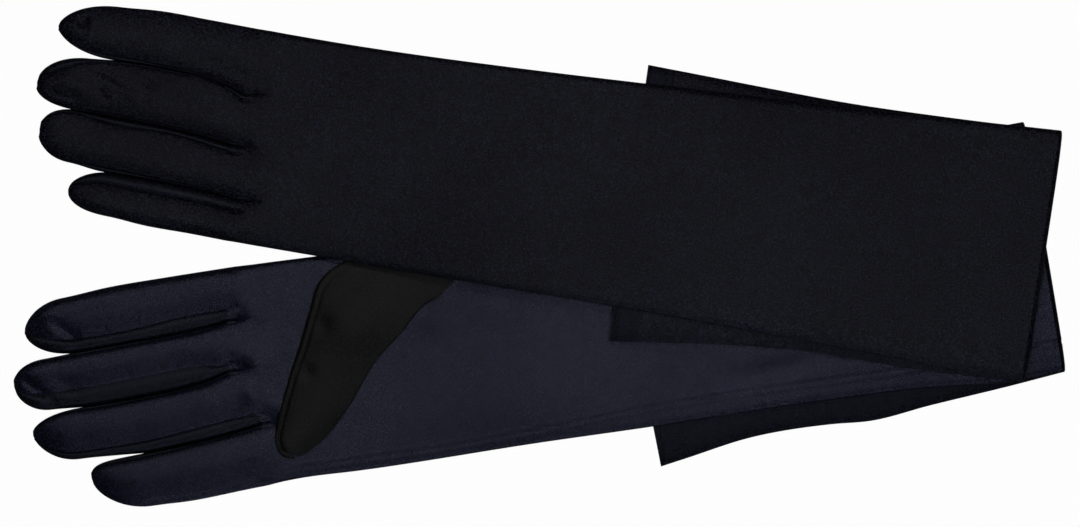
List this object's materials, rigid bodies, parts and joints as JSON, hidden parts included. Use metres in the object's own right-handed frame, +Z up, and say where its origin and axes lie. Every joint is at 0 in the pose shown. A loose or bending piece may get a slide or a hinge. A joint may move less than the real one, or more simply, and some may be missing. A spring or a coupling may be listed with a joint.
{
  "type": "pair of opera gloves",
  "caption": "Pair of long black satin gloves laid flat, one palm up and one back up, each arm folded once under itself.",
  "frame": {"origin": "middle of the pair's plan box, on the table that the pair lies on", "axes": "+X from the fingertips up the arms, +Y towards the left glove's side, +Z up from the table"},
  "size_m": [0.4397, 0.211, 0.0189],
  "materials": {
    "right_satin": "stretch satin, navy sheen, fine weave",
    "left_satin": "stretch satin, near-black, fine weave",
    "fourchette_satin": "stretch satin cut across, duller",
    "thumb_satin": "stretch satin cut on the bias, olive-black",
    "hem_satin": "turned satin hem, top-stitched"
  },
  "bodies": {
    "right_arm": {"right_arm_back": "right_satin", "right_arm_palm": "right_satin", "right_arm_folded_edge": "right_satin", "right_arm_side_seam": "right_satin", "right_thumb_seat": "thumb_satin"},
    "right_cuff": {"right_cuff_palm": "right_satin", "right_cuff_back": "right_satin", "right_cuff_folded_edge": "right_satin", "right_cuff_side_seam": "right_satin", "right_hem_band": "hem_satin"},
    "right_index": {"right_index_back": "right_satin", "right_index_palm": "right_satin", "right_index_folded_edge": "right_satin", "right_index_little_side_fourchette": "fourchette_satin"},
    "right_middle": {"right_middle_back": "right_satin", "right_middle_palm": "right_satin", "right_middle_thumb_side_fourchette": "fourchette_satin", "right_middle_little_side_fourchette": "fourchette_satin"},
    "right_ring": {"right_ring_back": "right_satin", "right_ring_palm": "right_satin", "right_ring_thumb_side_fourchette": "fourchette_satin", "right_ring_little_side_fourchette": "fourchette_satin"},
    "right_little": {"right_little_back": "right_satin", "right_little_palm": "right_satin", "right_little_thumb_side_fourchette": "fourchette_satin", "right_little_side_seam": "right_satin"},
    "right_thumb": {"right_thumb_under": "thumb_satin", "right_thumb_over": "thumb_satin", "right_thumb_seam": "thumb_satin"},
    "left_arm": {"left_arm_palm": "left_satin", "left_arm_back": "left_satin", "left_arm_folded_edge": "left_satin", "left_arm_side_seam": "left_satin", "left_thumb_seat": "thumb_satin"},
    "left_cuff": {"left_cuff_back": "left_satin", "left_cuff_palm": "left_satin", "left_cuff_folded_edge": "left_satin", "left_cuff_side_seam": "left_satin", "left_hem_band": "hem_satin"},
    "left_index": {"left_index_palm": "left_satin", "left_index_back": "left_satin", "left_index_folded_edge": "left_satin", "left_index_little_side_fourchette": "fourchette_satin"},
    "left_middle": {"left_middle_palm": "left_satin", "left_middle_back": "left_satin", "left_middle_thumb_side_fourchette": "fourchette_satin", "left_middle_little_side_fourchette": "fourchette_satin"},
    "left_ring": {"left_ring_palm": "left_satin", "left_ring_back": "left_satin", "left_ring_thumb_side_fourchette": "fourchette_satin", "left_ring_little_side_fourchette": "fourchette_satin"},
    "left_little": {"left_little_palm": "left_satin", "left_little_back": "left_satin", "left_little_thumb_side_fourchette": "fourchette_satin", "left_little_side_seam": "left_satin"},
    "left_thumb": {"left_thumb_under": "thumb_satin", "left_thumb_over": "thumb_satin", "left_thumb_seam": "thumb_satin"}
  },
  "joints": [
    {"name": "right_index_bend", "type": "hinge", "parent": "right_arm", "child": "right_index", "pos_m": [-0.13376, -0.01765, 0.003], "axis": [-0.1638, 0.9865, 0], "range_deg": [0, 90]},
    {"name": "right_middle_bend", "type": "hinge", "parent": "right_arm", "child": "right_middle", "pos_m": [-0.13021, -0.03906, 0.003], "axis": [-0.1638, 0.9865, 0], "range_deg": [0, 90]},
    {"name": "right_ring_bend", "type": "hinge", "parent": "right_arm", "child": "right_ring", "pos_m": [-0.12658, -0.06091, 0.003], "axis": [-0.1638, 0.9865, 0], "range_deg": [0, 90]},
    {"name": "right_little_bend", "type": "hinge", "parent": "right_arm", "child": "right_little", "pos_m": [-0.12248, -0.08557, 0.003], "axis": [-0.1638, 0.9865, 0], "range_deg": [0, 90]},
    {"name": "left_index_bend", "type": "hinge", "parent": "left_arm", "child": "left_index", "pos_m": [-0.12117, 0.08169, 0.007], "axis": [0.1509, 0.9885, 0], "range_deg": [0, 90]},
    {"name": "left_middle_bend", "type": "hinge", "parent": "left_arm", "child": "left_middle", "pos_m": [-0.12491, 0.05718, 0.007], "axis": [0.1509, 0.9885, 0], "range_deg": [0, 90]},
    {"name": "left_ring_bend", "type": "hinge", "parent": "left_arm", "child": "left_ring", "pos_m": [-0.12822, 0.03548, 0.007], "axis": [0.1509, 0.9885, 0], "range_deg": [0, 90]},
    {"name": "left_little_bend", "type": "hinge", "parent": "left_arm", "child": "left_little", "pos_m": [-0.13126, 0.01556, 0.007], "axis": [0.1509, 0.9885, 0], "range_deg": [0, 90]},
    {"name": "right_thumb_turn", "type": "hinge", "parent": "right_arm", "child": "right_thumb", "pos_m": [-0.06197, -0.00762, 0.0063], "axis": [-0.9885, 0.1509, 0], "range_deg": [0, 80]},
    {"name": "left_thumb_turn", "type": "hinge", "parent": "left_arm", "child": "left_thumb", "pos_m": [-0.04387, 0.08441, 0.0033], "axis": [0.9885, -0.1509, 0], "range_deg": [0, 180]},
    {"name": "right_fold", "type": "hinge", "parent": "right_arm", "child": "right_cuff", "pos_m": [0.21135, 0.00404, 0.003], "axis": [0.1638, -0.9865, 0], "range_deg": [0, 180]},
    {"name": "left_lift", "type": "slide", "parent": "right_arm", "child": "left_cuff", "axis": [0, 0, 1], "range_m": [0, 0.2]},
    {"name": "left_fold", "type": "hinge", "parent": "left_cuff", "child": "left_arm", "pos_m": [0.21025, -0.00036, 0.0156], "axis": [0.1509, 0.9885, 0], "range_deg": [0, 180]}
  ]
}
